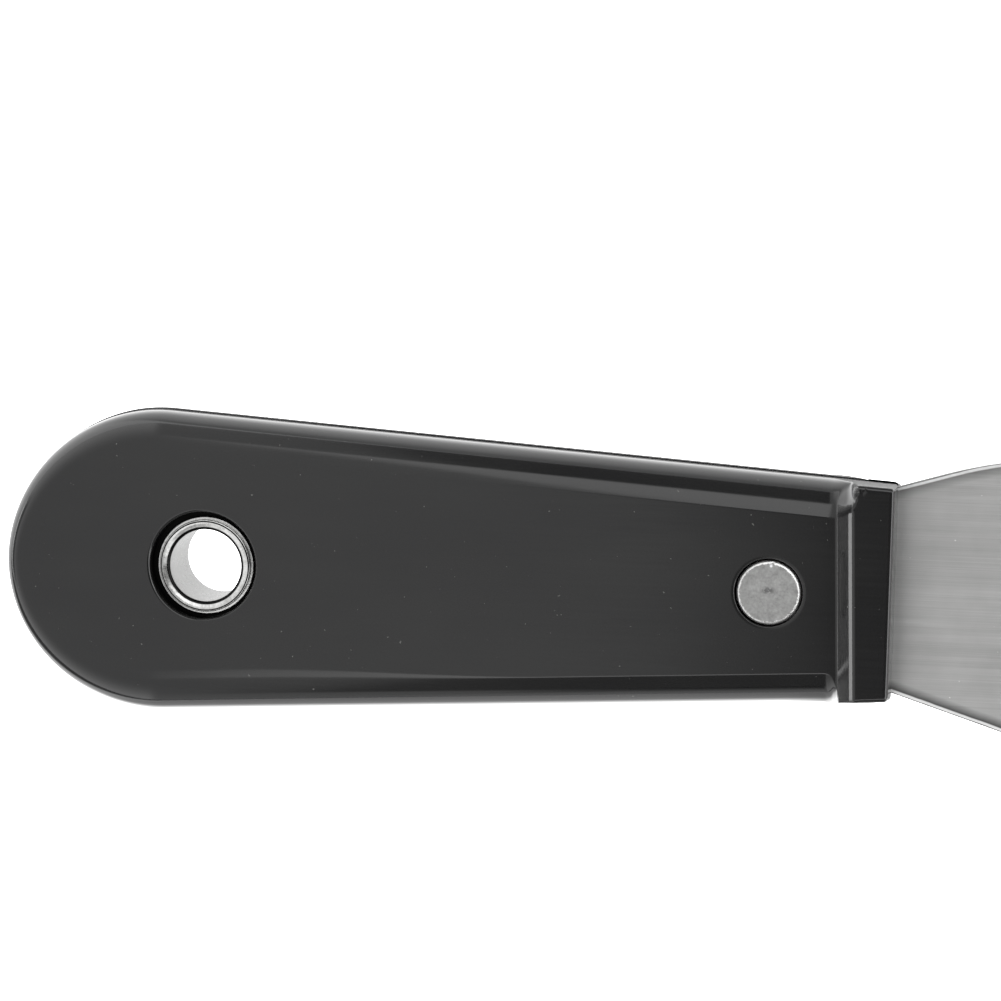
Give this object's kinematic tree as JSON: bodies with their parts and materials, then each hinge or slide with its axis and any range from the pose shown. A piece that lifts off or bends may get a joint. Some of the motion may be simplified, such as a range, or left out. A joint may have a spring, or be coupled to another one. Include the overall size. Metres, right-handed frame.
{
  "type": "ink knife",
  "caption": "Flat steel ink knife with a full tang between two moulded handle halves, a compression rivet, a raised guard and a metal-lined hanging hole.",
  "frame": {"origin": "centre of the hanging hole, half way through the handle's thickness", "axes": "+X along the handle to the blade's edge, +Z square to the handle's flat face, +Y towards the blade's shorter side"},
  "size_m": [0.1973, 0.04, 0.0158],
  "materials": {
    "blade_steel": "ground and fine-brushed along the blade",
    "handle_plastic": "glossy moulded black plastic",
    "rivet_steel": "dull tumbled steel with a press mark",
    "eyelet_plating": "bright plated, rolled by a setting tool",
    "washer_plating": "bright plated"
  },
  "bodies": {
    "root": {"blade": "blade_steel", "upper_handle_half": "handle_plastic", "lower_handle_half": "handle_plastic", "rivet_sleeve": "rivet_steel", "rivet_pin": "rivet_steel", "hang_hole_eyelet": "eyelet_plating", "upper_eyelet_washer": "washer_plating", "lower_eyelet_washer": "washer_plating"}
  },
  "joints": []
}
